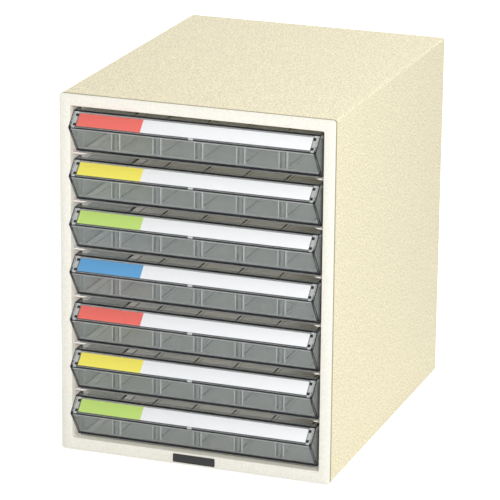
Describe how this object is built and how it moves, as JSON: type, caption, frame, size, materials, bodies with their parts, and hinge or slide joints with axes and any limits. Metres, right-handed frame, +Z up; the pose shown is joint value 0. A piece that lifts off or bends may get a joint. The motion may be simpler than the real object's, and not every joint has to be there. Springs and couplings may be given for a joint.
{
  "type": "document drawer cabinet",
  "caption": "Desk cabinet for A4 papers: a painted sheet-steel case on rubber feet with a stack of see-through smoke drawers, each with a slanted title card and a pull nose.",
  "frame": {"origin": "on the table, under the middle of the whole cabinet with its drawer noses", "axes": "+X to the right as seen from the front, +Y from the drawer fronts to the back, +Z up"},
  "size_m": [0.277, 0.3653, 0.362],
  "materials": {
    "case_paint": "fine textured ivory enamel",
    "smoke_polystyrene": "see-through smoke, glossy",
    "clear_polystyrene": "clear, glossy",
    "card_paper": "matt white card",
    "plate_black": "black, satin",
    "foot_rubber": "matt black"
  },
  "bodies": {
    "cabinet": {"outer_shell": "case_paint", "front_frame": "case_paint", "bottom_panel": "case_paint", "back_panel": "case_paint", "left_liner": "case_paint", "right_liner": "case_paint", "name_plate": "plate_black", "front_left_foot": "foot_rubber", "front_right_foot": "foot_rubber", "back_left_foot": "foot_rubber", "back_right_foot": "foot_rubber", "left_rail_1": "case_paint", "right_rail_1": "case_paint", "left_rail_2": "case_paint", "right_rail_2": "case_paint", "left_rail_3": "case_paint", "right_rail_3": "case_paint", "left_rail_4": "case_paint", "right_rail_4": "case_paint", "left_rail_5": "case_paint", "right_rail_5": "case_paint", "left_rail_6": "case_paint", "right_rail_6": "case_paint", "left_rail_7": "case_paint", "right_rail_7": "case_paint"},
    "drawer_1": {"tray_1": "smoke_polystyrene", "drawer_front_1": "smoke_polystyrene", "title_card_1": "card_paper", "card_cover_1": "clear_polystyrene"},
    "drawer_2": {"tray_2": "smoke_polystyrene", "drawer_front_2": "smoke_polystyrene", "title_card_2": "card_paper", "card_cover_2": "clear_polystyrene"},
    "drawer_3": {"tray_3": "smoke_polystyrene", "drawer_front_3": "smoke_polystyrene", "title_card_3": "card_paper", "card_cover_3": "clear_polystyrene"},
    "drawer_4": {"tray_4": "smoke_polystyrene", "drawer_front_4": "smoke_polystyrene", "title_card_4": "card_paper", "card_cover_4": "clear_polystyrene"},
    "drawer_5": {"tray_5": "smoke_polystyrene", "drawer_front_5": "smoke_polystyrene", "title_card_5": "card_paper", "card_cover_5": "clear_polystyrene"},
    "drawer_6": {"tray_6": "smoke_polystyrene", "drawer_front_6": "smoke_polystyrene", "title_card_6": "card_paper", "card_cover_6": "clear_polystyrene"},
    "drawer_7": {"tray_7": "smoke_polystyrene", "drawer_front_7": "smoke_polystyrene", "title_card_7": "card_paper", "card_cover_7": "clear_polystyrene"}
  },
  "joints": [
    {"name": "drawer_1_slide", "type": "slide", "parent": "cabinet", "child": "drawer_1", "axis": [0, -1, 0], "range_m": [0, 0.265]},
    {"name": "drawer_2_slide", "type": "slide", "parent": "cabinet", "child": "drawer_2", "axis": [0, -1, 0], "range_m": [0, 0.265]},
    {"name": "drawer_3_slide", "type": "slide", "parent": "cabinet", "child": "drawer_3", "axis": [0, -1, 0], "range_m": [0, 0.265]},
    {"name": "drawer_4_slide", "type": "slide", "parent": "cabinet", "child": "drawer_4", "axis": [0, -1, 0], "range_m": [0, 0.265]},
    {"name": "drawer_5_slide", "type": "slide", "parent": "cabinet", "child": "drawer_5", "axis": [0, -1, 0], "range_m": [0, 0.265]},
    {"name": "drawer_6_slide", "type": "slide", "parent": "cabinet", "child": "drawer_6", "axis": [0, -1, 0], "range_m": [0, 0.265]},
    {"name": "drawer_7_slide", "type": "slide", "parent": "cabinet", "child": "drawer_7", "axis": [0, -1, 0], "range_m": [0, 0.265]}
  ]
}
